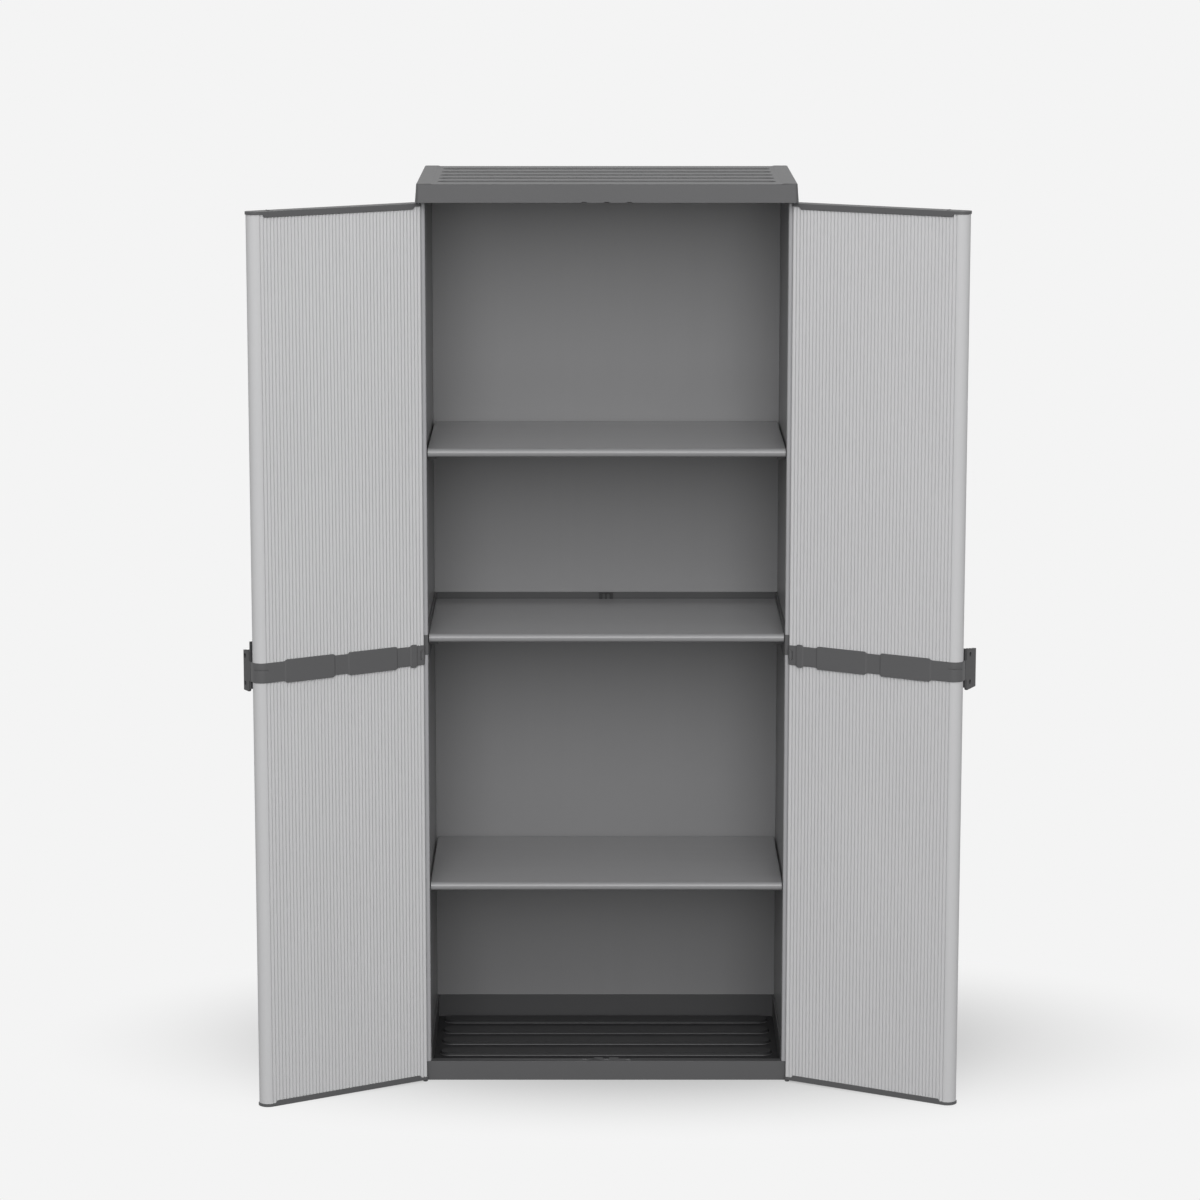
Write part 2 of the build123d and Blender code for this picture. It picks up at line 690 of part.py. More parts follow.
def door_mid_rail():
    """Joiner with channels for both panels, a hinge notch, raised pads and screw holes."""
    rail = prism(door_outline(0, RAIL_FREE_OUTER_R), RAIL_BOTTOM, RAIL_TOP)
    block_side = Pos(RAIL_HINGE_BLOCK / 2, DOOR_T / 2) * Rectangle(RAIL_HINGE_BLOCK, DOOR_T)
    pocket = door_outline(DOOR_INSET - SKIRT_FIT) - block_side
    rail -= prism(pocket, RAIL_CENTRE + RAIL_WEB / 2, RAIL_TOP)
    rail -= prism(pocket, RAIL_BOTTOM, RAIL_CENTRE - RAIL_WEB / 2)
    bump_end = RAIL_BUMP_START + RAIL_BUMP_LENGTH
    pads_start = bump_end + RAIL_NECK
    pads_end = DOOR_W - RAIL_WRAP - RAIL_NECK
    length = (pads_end - pads_start - RAIL_NECK) / 2
    rail += raised_pad(RAIL_BUMP_START, bump_end)
    rail += raised_pad(pads_start, pads_start + length)
    rail += raised_pad(pads_end - length, pads_end)
    groove = door_outline(0, RAIL_FREE_OUTER_R) - door_outline(WRAP_GROOVE_DEPTH)
    groove -= Pos((DOOR_W - WRAP_GROOVE_LENGTH) / 2, DOOR_T / 2) * Rectangle(DOOR_W - WRAP_GROOVE_LENGTH, 2 * DOOR_T)
    groove -= Pos(DOOR_W, DOOR_T) * Rectangle(2 * WRAP_GROOVE_LENGTH, DOOR_T)
    groove_middle = RAIL_CENTRE + WRAP_GROOVE_RISE
    rail -= prism(groove, groove_middle - WRAP_GROOVE_HEIGHT / 2, groove_middle + WRAP_GROOVE_HEIGHT / 2)
    notch_bottom = RAIL_CENTRE - NOTCH_HEIGHT / 2
    rail -= block(0, NOTCH_WIDTH, 0, DOOR_T, notch_bottom, notch_bottom + NOTCH_HEIGHT)
    rail -= upright(BORE_RADIUS, PIVOT_U, PIVOT_V, RAIL_BOTTOM, RAIL_TOP)
    for u in lug_screw_places():
        rail -= screw_bar(SCREW_RADIUS, u, DOOR_T - SCREW_GRIP, DOOR_T)
    return rail


def handle_lug(reach, rise):
    """Bracket on the rail's outer face with an upright plate, flush with the free edge."""
    u1 = DOOR_W
    u0 = u1 - LUG_PLATE_WIDTH
    lug = block(u0, u1, DOOR_T, DOOR_T + LUG_PLATE_T, RAIL_CENTRE - LUG_PLATE_DROP, RAIL_CENTRE + rise)
    lug = chamfer(lug.edges().filter_by(Axis.Y).group_by(Axis.X)[0], LUG_CHAMFER)
    neck = DOOR_T + LUG_NECK
    low = RAIL_CENTRE - LUG_HEIGHT / 2
    high = RAIL_CENTRE + LUG_HEIGHT / 2
    lug += block(u1 - LUG_T, u1, DOOR_T, neck, RAIL_BOTTOM, RAIL_TOP)
    upright_plate = block(u1 - LUG_T, u1, neck, DOOR_T + reach, low, high)
    inner = upright_plate.edges().filter_by(Axis.X).group_by(Axis.Y)[0]
    upright_plate = fillet(inner, LUG_ROUND)
    fall_start = neck + LUG_ROUND
    fall_end = DOOR_T + reach
    fall = (fall_end - fall_start) * math.tan(math.radians(LUG_TOP_FALL_DEG))
    wedge = Plane.YZ * Polygon((fall_start, high), (fall_end, high - fall), (fall_end, high), align=None)
    lug += upright_plate - Pos(u1 - LUG_T, 0, 0) * extrude(wedge, amount=LUG_T)
    for z in centred(2, LUG_HOLE_SPACING, RAIL_CENTRE):
        lug -= across(LUG_HOLE_RADIUS, u1 - LUG_T, u1, DOOR_T + LUG_HOLE_REACH, z)
    for u in lug_screw_places():
        lug -= screw_bar(SCREW_RADIUS, u, DOOR_T, DOOR_T + LUG_PLATE_T)
    return lug


def lug_screws():
    """Two pan-head screws through a handle lug into the rail."""
    seat = DOOR_T + LUG_PLATE_T
    screws = []
    for u in lug_screw_places():
        shank = screw_bar(SCREW_RADIUS, u, DOOR_T - SCREW_GRIP, seat)
        screws.append(shank + screw_bar(SCREW_HEAD_RADIUS, u, seat, seat + SCREW_HEAD_T))
    return Compound(screws)


def hang(shape, angle):
    """Sets a door piece on the right-hand hinge line, opened by an angle."""
    return Pos(HINGE_X, HINGE_Y, 0) * Rot(0, 0, 180 + angle) * Pos(-PIVOT_U, -PIVOT_V, 0) * shape


def door_pieces():
    """The pieces that both doors share by name, drawn shut in the door's own plan."""
    top_plate = DOOR_TOP - CAP_EDGE
    bottom_plate = DOOR_BOTTOM + CAP_EDGE
    return {
        "door_upper_panel": door_panel(RAIL_CENTRE + RAIL_WEB / 2, top_plate),
        "door_lower_panel": door_panel(bottom_plate, RAIL_CENTRE - RAIL_WEB / 2),
        "door_top_cap": door_cap(DOOR_TOP, -1),
        "door_bottom_cap": door_cap(DOOR_BOTTOM, 1),
        "door_mid_rail": door_mid_rail(),
        "lug_screws": lug_screws(),
    }


def main():
    """Writes every piece of the cabinet."""
    os.makedirs("parts", exist_ok=True)
    save("base_tray", base_tray())
    panels = {
        "lower_side_panel": (RIM_HEIGHT, MID_BOTTOM, LOWER_SHELF_TOP),
        "upper_side_panel": (MID_TOP, COVER_CEILING, UPPER_SHELF_TOP),
    }
    for name, (z0, z1, shelf_top) in panels.items():
        panel = side_panel(z0, z1, [(y, peg_height(shelf_top)) for y in peg_places()])
        save("right_" + name, panel)
        save("left_" + name, mirror(panel, about=Plane.YZ))
    save("lower_back_panel", back_panel(RIM_HEIGHT, MID_BOTTOM))
    save("upper_back_panel", back_panel(MID_TOP, COVER_CEILING))
    rail = side_mid_rail()
    save("right_mid_rail", rail)
    save("left_mid_rail", mirror(rail, about=Plane.YZ))
    save("back_mid_rail", back_mid_rail())
    save("back_rail_clip", back_rail_clip())
    save("mid_shelf", shelf(MID_SHELF_TOP))
    save("upper_shelf", shelf(UPPER_SHELF_TOP))
    save("lower_shelf", shelf(LOWER_SHELF_TOP))
    save("upper_shelf_pegs", shelf_pegs(UPPER_SHELF_TOP))
    save("lower_shelf_pegs", shelf_pegs(LOWER_SHELF_TOP))
    save("top_cover", top_cover())
    pin_tip = DOOR_TOP - CAP_EDGE + PIN_TIP_GAP
    save("upper_hinge_pins", hinge_pins(pin_tip, COVER_BOTTOM + COVER_PIN_GRIP))
    mid_pin = NOTCH_HEIGHT / 2 + MID_PIN_GRIP
    save("middle_hinge_pins", hinge_pins(RAIL_CENTRE - mid_pin, RAIL_CENTRE + mid_pin))
    save("lower_hinge_pins", hinge_pins(0, DOOR_BOTTOM + CAP_EDGE - PIN_TIP_GAP))
    save("hinge_washers", hinge_washers())
    for name, shape in door_pieces().items():
        save("right_" + name, hang(shape, RIGHT_DOOR_OPEN))
        save("left_" + name, mirror(hang(shape, LEFT_DOOR_OPEN), about=Plane.YZ))
    save("right_handle_lug", hang(handle_lug(RIGHT_LUG_REACH, RIGHT_LUG_PLATE_RISE), RIGHT_DOOR_OPEN))
    left_lug = hang(handle_lug(LEFT_LUG_REACH, LEFT_LUG_PLATE_RISE), LEFT_DOOR_OPEN)
    save("left_handle_lug", mirror(left_lug, about=Plane.YZ))


main()
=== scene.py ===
"""Looks of a two-door resin storage cabinet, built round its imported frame.

Metres, in the frame's own axes: +Z up, the doors face -Y. Sizes of the real object are
written in millimetres and turned to metres where they are used.
"""

import json
import logging
import math
from dataclasses import dataclass
from enum import Enum

import bmesh
import bpy
from mathutils import Matrix, Vector

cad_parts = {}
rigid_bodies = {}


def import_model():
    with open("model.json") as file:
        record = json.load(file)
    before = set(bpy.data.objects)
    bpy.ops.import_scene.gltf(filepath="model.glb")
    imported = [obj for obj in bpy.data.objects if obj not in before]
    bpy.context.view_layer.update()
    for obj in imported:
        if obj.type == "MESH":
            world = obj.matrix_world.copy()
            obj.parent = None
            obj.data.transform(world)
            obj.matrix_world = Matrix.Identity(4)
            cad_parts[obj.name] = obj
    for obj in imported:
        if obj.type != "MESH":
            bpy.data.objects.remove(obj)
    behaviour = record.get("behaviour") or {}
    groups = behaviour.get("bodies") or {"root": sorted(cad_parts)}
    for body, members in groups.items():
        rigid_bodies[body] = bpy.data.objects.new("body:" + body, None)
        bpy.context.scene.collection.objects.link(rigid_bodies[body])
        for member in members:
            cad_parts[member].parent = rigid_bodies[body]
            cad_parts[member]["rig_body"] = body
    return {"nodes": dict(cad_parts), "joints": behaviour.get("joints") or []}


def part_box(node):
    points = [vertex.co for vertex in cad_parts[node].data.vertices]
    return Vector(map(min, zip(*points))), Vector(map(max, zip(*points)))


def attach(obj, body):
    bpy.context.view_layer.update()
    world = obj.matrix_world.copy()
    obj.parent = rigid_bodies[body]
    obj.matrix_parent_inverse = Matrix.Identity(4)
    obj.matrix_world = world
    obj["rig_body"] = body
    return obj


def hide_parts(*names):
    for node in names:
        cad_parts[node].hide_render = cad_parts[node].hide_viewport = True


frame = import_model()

LOG = logging.getLogger("cabinet")
MM = 0.001
IMAGE_PIXELS = 1200.0
SENSOR_MM = 36.0
WELD_MM = 0.001
FLAT_DEG = 0.5
SHARP_DEG = 32.0
SOFTENED_DEG = 20.0
# Least part of a face's normal along a direction for the face to look that way, or straight that way
FACING = 0.5
FACING_STRAIGHT = 0.9

Colour = tuple[float, float, float, float]
Point = tuple[float, float, float]


class Side(Enum):
    """The cabinet's two sides, as seen by someone who faces the doors."""

    LEFT = "left"
    RIGHT = "right"


class Run(Enum):
    """The way an extrusion's faint die lines run."""

    UPRIGHT = "upright"
    ACROSS = "across"


def linear(code: str) -> Colour:
    """Turns an sRGB hex colour to linear values.

    Args:
        code: six hex digits after a hash sign.

    Returns:
        Red, green, blue and an alpha of 1.
    """
    channels = [int(code[i : i + 2], 16) / 255 for i in (1, 3, 5)]
    values = [c / 12.92 if c <= 0.04045 else ((c + 0.055) / 1.055) ** 2.4 for c in channels]
    return (*values, 1.0)


def shaded(colour: Colour, share: float) -> Colour:
    """A linear colour made lighter or darker by a share."""
    return (*[c * (1.0 + share) for c in colour[:3]], 1.0)


def per_metre(size_mm: float) -> float:
    """Texture scale at which a pattern's features are a real size."""
    return 1.0 / (size_mm * MM)


def add_node(
    tree: bpy.types.NodeTree, kind: str, sockets: dict | None = None, **settings: object
) -> bpy.types.Node:
    """Adds a shader node, sets it and links it.

    Args:
        tree: the node tree that gets the node.
        kind: the node's type.
        sockets: input name or index to a value, or to an output socket to link.
        **settings: the node's own properties.

    Returns:
        The new node.
    """
    node = tree.nodes.new(kind)
    for name, value in settings.items():
        setattr(node, name, value)
    for key, value in (sockets or {}).items():
        if isinstance(value, bpy.types.NodeSocket):
            tree.links.new(value, node.inputs[key])
        else:
            node.inputs[key].default_value = value
    return node


def noise(
    tree: bpy.types.NodeTree,
    place: bpy.types.NodeSocket,
    scale: float,
    detail: float,
    roughness: float = 0.5,
) -> bpy.types.NodeSocket:
    """Adds a noise pattern.

    Args:
        tree: the node tree that gets it.
        place: the coordinates that it is drawn in.
        scale: its features per unit of those coordinates.
        detail: how many finer layers it has.
        roughness: how strong the finer layers are.

    Returns:
        The pattern's value, from 0 to 1.
    """
    return add_node(
        tree,
        "ShaderNodeTexNoise",
        {"Vector": place, "Scale": scale, "Detail": detail, "Roughness": roughness},
    ).outputs[0]


def tinted(
    tree: bpy.types.NodeTree, pattern: bpy.types.NodeSocket, code: str, darker: float, lighter: float
) -> bpy.types.NodeSocket:
    """Adds a colour that a pattern makes a little darker and lighter.

    Args:
        tree: the node tree that gets it.
        pattern: the pattern's value, from 0 to 1.
        code: the colour's sRGB hex code.
        darker: the share of darkening at 0.
        lighter: the share of lightening at 1.

    Returns:
        The colour.
    """
    base = linear(code)
    return add_node(
        tree,
        "ShaderNodeMix",
        {0: pattern, 6: shaded(base, -darker), 7: shaded(base, lighter)},
        data_type="RGBA",
    ).outputs[2]


def sheen(
    tree: bpy.types.NodeTree, pattern: bpy.types.NodeSocket, roughness: float, spread: float
) -> bpy.types.NodeSocket:
    """Adds a roughness that a pattern varies.

    Args:
        tree: the node tree that gets it.
        pattern: the pattern's value, from 0 to 1.
        roughness: the middle roughness.
        spread: how far it goes either way.

    Returns:
        The roughness.
    """
    return add_node(
        tree,
        "ShaderNodeMapRange",
        {"Value": pattern, "To Min": roughness - spread, "To Max": roughness + spread},
    ).outputs[0]


def relief(
    tree: bpy.types.NodeTree, pattern: bpy.types.NodeSocket, depth_mm: float, strength: float
) -> bpy.types.NodeSocket:
    """Adds a slight relief to a surface.

    Args:
        tree: the node tree that gets it.
        pattern: the relief's height, from 0 to 1.
        depth_mm: its full depth.
        strength: the share of it that shows.

    Returns:
        The bent normal.
    """
    return add_node(
        tree,
        "ShaderNodeBump",
        {"Height": pattern, "Strength": strength, "Distance": depth_mm * MM},
    ).outputs[0]


def surface(tree: bpy.types.NodeTree, sockets: dict) -> None:
    """Adds a principled surface and makes it the material's output."""
    shader = add_node(tree, "ShaderNodeBsdfPrincipled", sockets)
    add_node(tree, "ShaderNodeOutputMaterial", {"Surface": shader.outputs[0]})


def empty_material(name: str) -> bpy.types.Material:
    """Makes a material without nodes.

    Args:
        name: the material's name.

    Returns:
        The new material.
    """
    made = bpy.data.materials.new(name)
    made.use_nodes = True
    made.node_tree.nodes.clear()
    return made


@dataclass(frozen=True)
class Finish:
    """A surface finish: its material's name, the record's slot and its sRGB colour."""

    name: str
    slot: str
    colour: str

    def material(self) -> bpy.types.Material:
        """Finds the finish's material, or makes it on first use.

        Returns:
            The material.
        """
        made = bpy.data.materials.get(self.name)
        if made is None:
            made = empty_material(self.name)
            self.paint(made.node_tree)
        return made

    def paint(self, tree: bpy.types.NodeTree) -> None:
        """Draws the finish in a material's empty node tree."""
        raise NotImplementedError


@dataclass(frozen=True)
class MouldedResin(Finish):
    """Injection-moulded polypropylene: a satin skin with fine spark-erosion grain."""

    roughness: float = 0.46
    sheen_spread: float = 0.07
    ior: float = 1.49
    gloss: float = 0.25
    cloud_mm: float = 140.0
    cloud_share: float = 0.035
    # Real grain is about 0.3 mm; it is drawn coarser so that it shows from a step away
    grain_mm: float = 1.6
    grain_depth_mm: float = 0.05
    grain_strength: float = 0.35

    def paint(self, tree: bpy.types.NodeTree) -> None:
        """Draws faint clouds in the colour, and a fine grain in sheen and relief.

        Args:
            tree: the material's empty node tree.
        """
        place = add_node(tree, "ShaderNodeTexCoord").outputs["Object"]
        cloud = noise(tree, place, per_metre(self.cloud_mm), detail=4.0, roughness=0.6)
        grain = noise(tree, place, per_metre(self.grain_mm), detail=2.0, roughness=0.55)
        surface(
            tree,
            {
                "Base Color": tinted(tree, cloud, self.colour, self.cloud_share, self.cloud_share),
                "Roughness": sheen(tree, grain, self.roughness, self.sheen_spread),
                "IOR": self.ior,
                "Specular IOR Level": self.gloss,
                "Normal": relief(tree, grain, self.grain_depth_mm, self.grain_strength),
            },
        )


@dataclass(frozen=True)
class ExtrudedResin(Finish):
    """Extruded polypropylene: a smooth satin skin with faint lines along the die."""

    run: Run = Run.UPRIGHT
    roughness: float = 0.40
    sheen_spread: float = 0.06
    ior: float = 1.49
    gloss: float = 0.5
    cloud_mm: float = 260.0
    # Die lines are hair-fine; they are drawn far wider, so that they show as soft streaks
    line_mm: float = 24.0
    line_length_mm: float = 900.0
    line_share: float = 0.012
    line_depth_mm: float = 0.01
    line_strength: float = 0.3
    # Where lines and clouds multiplied begin to show, and where they show in full
    line_onset: float = 0.1
    line_full: float = 0.4

    def paint(self, tree: bpy.types.NodeTree) -> None:
        """Draws long faint lines in colour, sheen and relief.

        Args:
            tree: the material's empty node tree.
        """
        place = add_node(tree, "ShaderNodeTexCoord").outputs["Object"]
        wide, long = per_metre(self.line_mm), per_metre(self.line_length_mm)
        stretch = (wide, wide, long) if self.run is Run.UPRIGHT else (long, wide, wide)
        drawn = add_node(tree, "ShaderNodeMapping", {"Vector": place, "Scale": stretch}).outputs[0]
        lines = noise(tree, drawn, 1.0, detail=3.0, roughness=0.6)
        cloud = noise(tree, place, per_metre(self.cloud_mm), detail=3.0)
        both = add_node(tree, "ShaderNodeMath", {0: lines, 1: cloud}, operation="MULTIPLY").outputs[0]
        streaks = add_node(
            tree,
            "ShaderNodeMapRange",
            {"Value": both, "From Min": self.line_onset, "From Max": self.line_full},
        ).outputs[0]
        surface(
            tree,
            {
                "Base Color": tinted(tree, streaks, self.colour, self.line_share, self.line_share),
                "Roughness": sheen(tree, lines, self.roughness, self.sheen_spread),
                "IOR": self.ior,
                "Specular IOR Level": self.gloss,
                "Normal": relief(tree, lines, self.line_depth_mm, self.line_strength),
            },
        )


@dataclass(frozen=True)
class PlatedSteel(Finish):
    """Zinc-plated steel: a dull bright metal with fine turning marks."""

    roughness: float = 0.32
    sheen_spread: float = 0.1
    mark_mm: float = 0.8
    darker: float = 0.08
    lighter: float = 0.05

    def paint(self, tree: bpy.types.NodeTree) -> None:
        """Draws fine marks in the metal's colour and sheen.

        Args:
            tree: the material's empty node tree.
        """
        place = add_node(tree, "ShaderNodeTexCoord").outputs["Object"]
        marks = noise(tree, place, per_metre(self.mark_mm), detail=3.0)
        surface(
            tree,
            {
                "Base Color": tinted(tree, marks, self.colour, self.darker, self.lighter),
                "Metallic": 1.0,
                "Roughness": sheen(tree, marks, self.roughness, self.sheen_spread),
            },
        )


# Frame, caps, rails and cover: dark satin grey
DARK = MouldedResin("moulded_polypropylene_dark", "dark_resin", "#525253")
# Floor of the tray and the back clip: the same resin painted much darker, as painted shade where little light
# reaches
DEEP_SHADE = MouldedResin("moulded_polypropylene_painted_deep_shade", "dark_resin", "#29292a", roughness=0.5)
# Pads on the tray's floor: painted shade as well, a little less dark than the floor because the raised pads
# catch more light
PAD_SHADE = MouldedResin("moulded_polypropylene_painted_pad_shade", "dark_resin", "#343435")
# Upstand round the tray and the back rail: the same resin painted darker, as painted shade inside the cabinet
RECESS_SHADE = MouldedResin("moulded_polypropylene_painted_recess_shade", "dark_resin", "#424243", roughness=0.5)
# Lugs: the dark resin painted near-black, as painted shade on faces turned away from the light
LUG_SHADE = MouldedResin("moulded_resin_lug_painted_shade", "dark_resin", "#3c3c3d")
# Doors: light grey, so smooth that only the flutes draw lines
DOOR = ExtrudedResin(
    "extruded_polypropylene_light",
    "door_resin",
    "#b8b8b9",
    roughness=0.6,
    gloss=0.15,
    line_depth_mm=0.005,
)
# Walls of the body: mid grey with a soft sheen
PANEL = ExtrudedResin("extruded_polypropylene_mid", "panel_resin", "#747475", roughness=0.34)
# Front beads of the side walls: painted paler, a painted highlight on their round front edge
BEAD_HIGHLIGHT = ExtrudedResin("extruded_polypropylene_bead_painted_highlight", "panel_resin", "#98989a", roughness=0.3)
# Shelves: the same resin, glossier on the half-round edge, its streaks too faint to break the sheen
BOARD = ExtrudedResin(
    "extruded_polypropylene_board",
    "panel_resin",
    "#7e7e7f",
    run=Run.ACROSS,
    roughness=0.26,
    line_depth_mm=0.001,
    sheen_spread=0.012,
)
# Pins and screws: bright, slightly dull
STEEL = PlatedSteel("zinc_plated_steel", "steel", "#b4b7ba")
# Washers: dark and smooth
NYLON = MouldedResin("moulded_nylon_dark", "nylon", "#444445", roughness=0.38, ior=1.53)


def finish_piece(name: str, shape: bmesh.types.BMesh, finish: Finish, node: str) -> bpy.types.Object:
    """Turns a bmesh into a piece that stands for a CAD node and rides on its body.

    Args:
        name: the piece's name.
        shape: the finished bmesh, freed here.
        finish: the finish that dresses the piece.
        node: the CAD node that it replaces.

    Returns:
        The new object.
    """
    mesh = bpy.data.meshes.new(name)
    shape.to_mesh(mesh)
    shape.free()
    mesh.materials.append(finish.material())
    mesh.polygons.foreach_set("use_smooth", [True] * len(mesh.polygons))
    piece = bpy.data.objects.new(name, mesh)
    bpy.context.scene.collection.objects.link(piece)
    body = frame["nodes"][node]["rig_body"]
    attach(piece, body)
    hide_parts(node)
    LOG.info("%s rides on %s", name, body)
    return piece


def add_finish(piece: bpy.types.Object, finish: Finish) -> int:
    """Adds one more finish to a piece and gives its index."""
    piece.data.materials.append(finish.material())
    return len(piece.data.materials) - 1


def soften(piece: bpy.types.Object, width_mm: float, segments: int = 2) -> None:
    """Rounds a piece's sharp edges with a bevel and keeps its flats evenly shaded.

    Args:
        piece: the piece to round.
        width_mm: the bevel's width.
        segments: the bevel's segments.
    """
    bevel = piece.modifiers.new("soft_edges", "BEVEL")
    bevel.width = width_mm * MM
    bevel.segments = segments
    bevel.limit_method = "ANGLE"
    bevel.angle_limit = math.radians(SOFTENED_DEG)
    bevel.use_clamp_overlap = False
    even = piece.modifiers.new("even_flats", "WEIGHTED_NORMAL")
    even.keep_sharp = False
    even.weight = 100


def moulding(node: str, finish: Finish, edge_mm: float) -> bpy.types.Object:
    """A merged copy of a CAD node with soft edges.

    Args:
        node: the CAD node to copy and replace.
        finish: the finish that dresses it.
        edge_mm: the width of its soft edges.

    Returns:
        The new piece.
    """
    shape = bmesh.new()
    shape.from_mesh(frame["nodes"][node].data)
    bmesh.ops.remove_doubles(shape, verts=shape.verts, dist=WELD_MM * MM)
    bmesh.ops.dissolve_limit(
        shape,
        angle_limit=math.radians(FLAT_DEG),
        verts=shape.verts,
        edges=shape.edges,
    )
    piece = finish_piece(f"{node}_moulding", shape, finish, node)
    soften(piece, edge_mm)
    return piece


def dress(node: str, finish: Finish) -> None:
    """Gives a CAD node that stays as it is its finish.

    Args:
        node: the CAD node.
        finish: the finish that dresses it.
    """
    piece = frame["nodes"][node]
    piece.data.materials.clear()
    piece.data.materials.append(finish.material())
    LOG.info("%s keeps its shape", node)


def round_corner(shape: bmesh.types.BMesh, corner: bmesh.types.BMVert, radius: float, steps: int) -> None:
    """Rounds one corner of a flat outline.

    Args:
        shape: the bmesh that holds the outline.
        corner: the corner.
        radius: the round's radius in metres.
        steps: how many flats make up the round.
    """
    bmesh.ops.bevel(
        shape,
        geom=[corner],
        offset=radius,
        offset_type="OFFSET",
        segments=steps,
        profile=0.5,
        affect="VERTICES",
        material=-1,
    )


def draw_out(shape: bmesh.types.BMesh, reach: Point) -> None:
    """Draws a flat outline out to a closed bar.

    Args:
        shape: the bmesh that holds the outline.
        reach: the bar's direction and length in metres.
    """
    made = bmesh.ops.extrude_face_region(shape, geom=shape.faces[:])
    far = [item for item in made["geom"] if isinstance(item, bmesh.types.BMVert)]
    bmesh.ops.translate(shape, verts=far, vec=reach)


@dataclass
class Door:
    """One door, drawn shut in its own plan: u from the hinge edge, v from the inner face."""

    side: Side
    width_mm: float = 336.0
    thickness_mm: float = 28.0
    panel_inset_mm: float = 1.5
    pivot_u_mm: float = 4.0
    pivot_v_mm: float = 5.0
    hinge_inner_mm: float = 4.0
    hinge_outer_mm: float = 6.0
    free_inner_mm: float = 18.0
    free_outer_mm: float = 8.0
    flute_pitch_mm: float = 6.675
    flute_depth_mm: float = 2.1
    flute_start_mm: float = 4.05
    flute_margin_mm: float = 18.0
    flute_steps: int = 12
    corner_steps: int = 8
    edge_mm: float = 0.5

    def node(self, name: str) -> str:
        """The name of one of the door's CAD nodes."""
        return f"{self.side.value}_{name}"

    def placement(self) -> Matrix:
        """Finds where the frame's joint holds the door at rest.

        Returns:
            The matrix from the door's plan, in metres, to its open place.
        """
        joint = next(j for j in frame["joints"] if j["child"] == self.node("door"))
        x, y, _ = joint["pos_m"]
        opened = -math.radians(joint["range_deg"][0])
        hung = (
            Matrix.Translation((abs(x), y, 0))
            @ Matrix.Rotation(math.pi + opened, 4, "Z")
            @ Matrix.Translation((-self.pivot_u_mm * MM, -self.pivot_v_mm * MM, 0))
        )
        if self.side is Side.LEFT:
            return Matrix.Scale(-1, 4, (1, 0, 0)) @ hung
        return hung

    def fluted_panel(self, name: str) -> None:
        """Models one fluted panel between the door's caps and middle rail.

        Args:
            name: the panel's node, without the side.
        """
        node = self.node(name)
        low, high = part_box(node)
        inset = self.panel_inset_mm
        u0, u1 = inset * MM, (self.width_mm - inset) * MM
        v0, v1 = inset * MM, (self.thickness_mm - inset) * MM
        corners = {
            (u0, v0): self.hinge_inner_mm,
            (u1, v0): self.free_inner_mm,
            (u1, v1): self.free_outer_mm,
            (u0, v1): self.hinge_outer_mm,
        }
        shape = bmesh.new()
        ring = [shape.verts.new((u, v, low.z)) for u, v in corners]
        shape.faces.new(ring)
        for vert, radius_mm in zip(ring, corners.values()):
            round_corner(shape, vert, (radius_mm - inset) * MM, self.corner_steps)
        self.flute(shape, v0, 1.0, 0)
        self.flute(shape, v1, -1.0, 1)
        draw_out(shape, (0, 0, high.z - low.z))
        bmesh.ops.transform(shape, matrix=self.placement(), verts=shape.verts)
        bmesh.ops.recalc_face_normals(shape, faces=shape.faces)
        piece = finish_piece(f"{node}_fluted", shape, DOOR, node)
        piece.data.set_sharp_from_angle(angle=math.radians(SHARP_DEG))

    def flute(self, shape: bmesh.types.BMesh, v: float, inward: float, skipped: int) -> None:
        """Draws flutes into the long edge of a panel's plan.

        Args:
            shape: the bmesh that holds the plan.
            v: the edge's place across the door.
            inward: +1 or -1, towards the door's middle.
            skipped: how many flutes are left out at the hinge, where the corner is round.
        """
        pitch = self.flute_pitch_mm * MM
        room_mm = self.width_mm - self.flute_start_mm - self.flute_margin_mm
        count = int(room_mm / self.flute_pitch_mm) - skipped
        start = self.flute_start_mm * MM + skipped * pitch
        end = start + count * pitch
        for place in (start, end):
            edge = self.long_edge(shape, v)
            first = min(edge.verts, key=lambda vert: vert.co.x)
            bmesh.utils.edge_split(edge, first, (place - first.co.x) / edge.calc_length())
        fluted = self.long_edge(shape, v)
        bmesh.ops.subdivide_edges(shape, edges=[fluted], cuts=count * self.flute_steps - 1)
        for vert in shape.verts:
            if self.lies_at(vert, v) and start <= vert.co.x <= end:
                turn = 2 * math.pi * (vert.co.x - start) / pitch
                vert.co.y += inward * self.flute_depth_mm * MM * (0.5 - 0.5 * math.cos(turn))

    @staticmethod
    def lies_at(vert: bmesh.types.BMVert, v: float) -> bool:
        """Whether a corner of the plan lies at one place across the door."""
        return abs(vert.co.y - v) < WELD_MM * MM

    def long_edge(self, shape: bmesh.types.BMesh, v: float) -> bmesh.types.BMEdge:
        """The plan's longest edge at one place across the door."""
        level = [edge for edge in shape.edges if all(self.lies_at(vert, v) for vert in edge.verts)]
        return max(level, key=lambda edge: edge.calc_length())

    def build(self) -> None:
        """Builds and dresses all the door's pieces."""
        for name in ("door_upper_panel", "door_lower_panel"):
            self.fluted_panel(name)
        for name in ("door_top_cap", "door_bottom_cap", "door_mid_rail"):
            moulding(self.node(name), DARK, self.edge_mm)
        # The lugs get painted shade, near-black
        moulding(self.node("handle_lug"), LUG_SHADE, self.edge_mm)
        dress(self.node("lug_screws"), STEEL)


